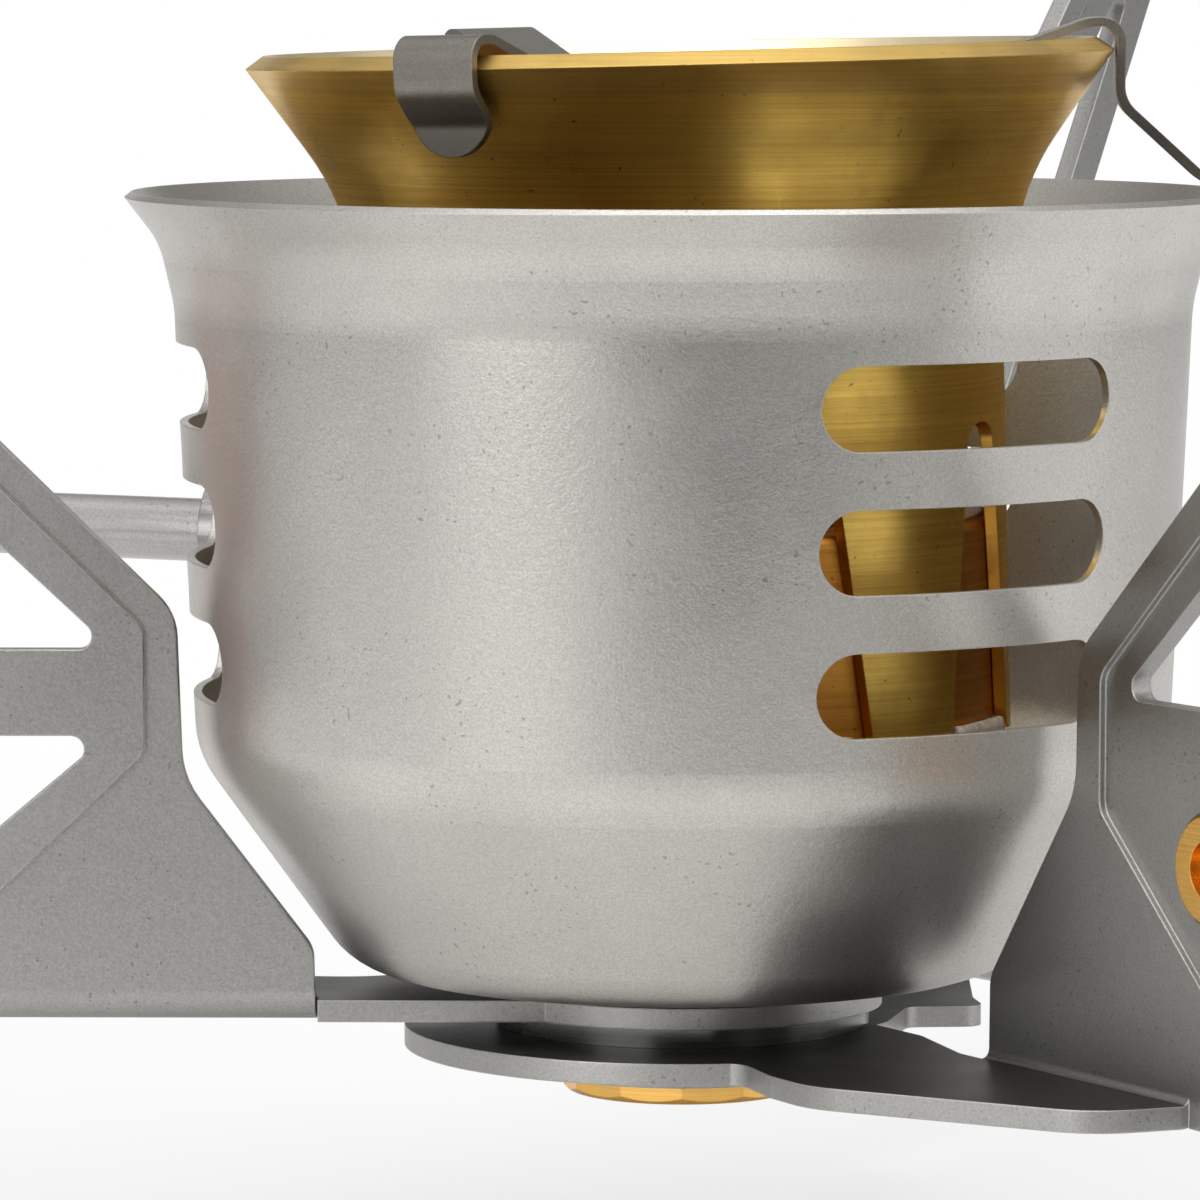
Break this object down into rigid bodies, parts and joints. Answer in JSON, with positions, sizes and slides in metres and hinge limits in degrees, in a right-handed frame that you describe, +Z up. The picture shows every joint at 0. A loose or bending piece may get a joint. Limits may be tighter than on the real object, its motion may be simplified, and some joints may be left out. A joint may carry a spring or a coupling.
{
  "type": "multi-fuel camping stove burner",
  "caption": "Camping stove burner: slotted metal bowl with a flared brass bell and flame spreader, on folding sheet-metal legs with pot supports and a fuel pipe.",
  "frame": {"origin": "centre of the clamping nut's underside, on the burner's vertical axis and 12 mm above the ground", "axes": "+Z up along the burner's axis; the left leg points along -X with the legs spread, and the picture's camera looks along +Y"},
  "size_m": [0.1744, 0.1873, 0.088],
  "materials": {
    "bowl_steel": "bead-blasted satin",
    "leg_steel": "matte blasted",
    "gold_brass": "bright orange-gold, turned",
    "plain_steel": "turned",
    "dark_steel": "oil-blackened, turned",
    "heated_brass": "orange-brown, turned",
    "bell_brass": "turned, lightly stained",
    "spreader_steel": "dark, worn edges",
    "pad_fibre": "woven fibre, slightly scorched",
    "pipe_steel": "drawn, satin",
    "inlet_brass": "turned",
    "ring_rubber": "smooth",
    "filter_bronze": "sintered, grainy"
  },
  "bodies": {
    "stove": {"burner_bowl": "bowl_steel", "fixed_leg": "leg_steel", "centre_nut": "gold_brass", "centre_stud": "dark_steel", "friction_washer": "dark_steel", "thrust_washer": "dark_steel", "foot_washer": "dark_steel", "burner_foot": "heated_brass", "main_jet": "gold_brass", "mixing_tube": "heated_brass", "burner_cup": "heated_brass", "burner_shell": "heated_brass", "burner_bell": "bell_brass", "priming_pad": "pad_fibre", "fuel_pipe": "pipe_steel", "pipe_gland": "plain_steel", "pipe_nut": "gold_brass", "inlet_body": "inlet_brass", "swivel_nut": "inlet_brass", "spare_jets": "gold_brass"},
    "left_leg_body": {"left_leg": "leg_steel"},
    "rear_leg_body": {"rear_leg": "leg_steel"},
    "spreader_body": {"flame_spreader": "spreader_steel"},
    "swivel_body": {"swivel_nipple": "plain_steel", "swivel_o_ring": "ring_rubber", "inlet_filter": "filter_bronze"}
  },
  "joints": [
    {"name": "left_leg_fold", "type": "hinge", "parent": "stove", "child": "left_leg_body", "pos_m": [0, 0, 0.0052], "axis": [0, 0, 1], "range_deg": [0, 114]},
    {"name": "rear_leg_fold", "type": "hinge", "parent": "stove", "child": "rear_leg_body", "pos_m": [0, 0, 0.0014], "axis": [0, 0, 1], "range_deg": [-110, 0]},
    {"name": "spreader_tilt", "type": "hinge", "parent": "stove", "child": "spreader_body", "pos_m": [-0.01585, 0.00044, 0.06123], "axis": [-0.0279, -0.9996, -0.0007], "range_deg": [0, 8]},
    {"name": "inlet_swivel", "type": "hinge", "parent": "stove", "child": "swivel_body", "pos_m": [-0.0854, 0.03928, 0.0324], "axis": [-0.9085, 0.4179, 0], "continuous": true}
  ]
}
